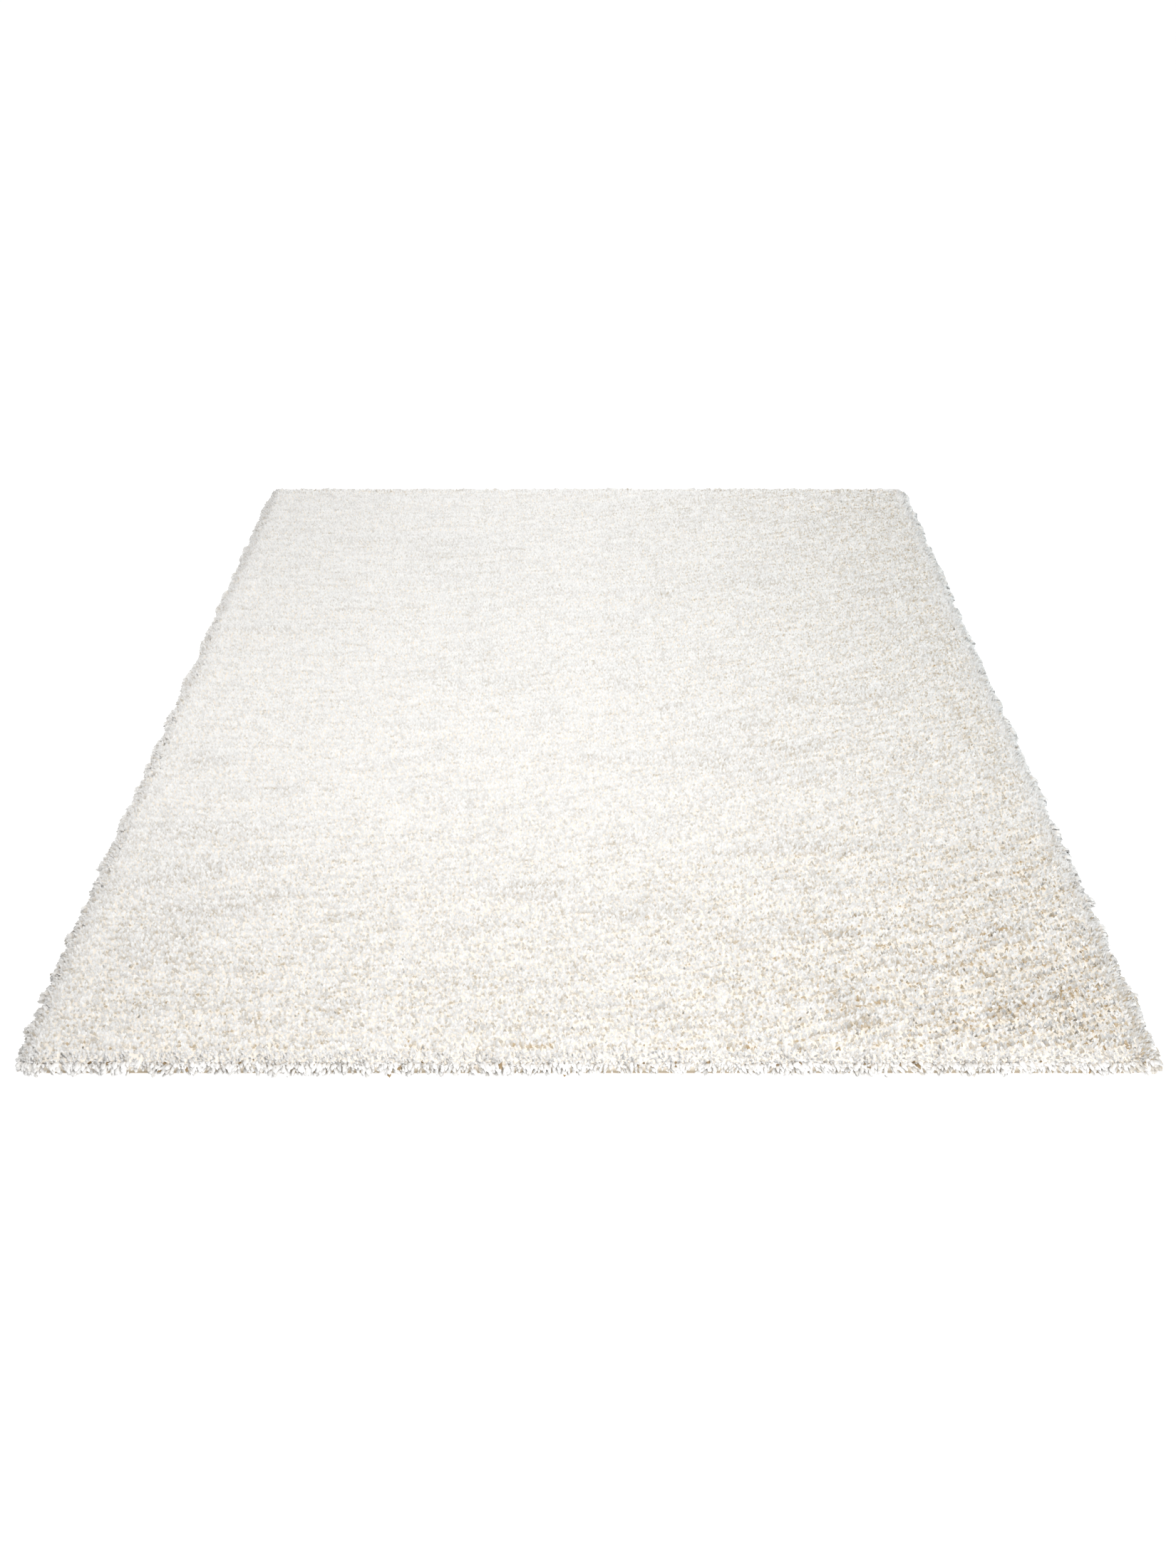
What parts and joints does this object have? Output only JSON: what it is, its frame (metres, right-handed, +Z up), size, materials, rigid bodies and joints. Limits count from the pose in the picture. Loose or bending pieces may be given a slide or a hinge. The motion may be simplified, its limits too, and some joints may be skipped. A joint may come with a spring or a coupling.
{
  "type": "shag rug",
  "caption": "Flat rectangular rug with a thick, dense, lumpy pile, rounded corners and soft locks of pile falling outwards all round its rim.",
  "frame": {"origin": "middle of the flat underside, on the floor", "axes": "+X across the rug's width, +Y along its length away from the pictured front edge, +Z up out of the pile"},
  "size_m": [1.6, 2.3, 0.0364],
  "materials": {
    "pile": "soft matt cream shag pile"
  },
  "bodies": {
    "root": {"shag_rug": "pile"}
  },
  "joints": []
}
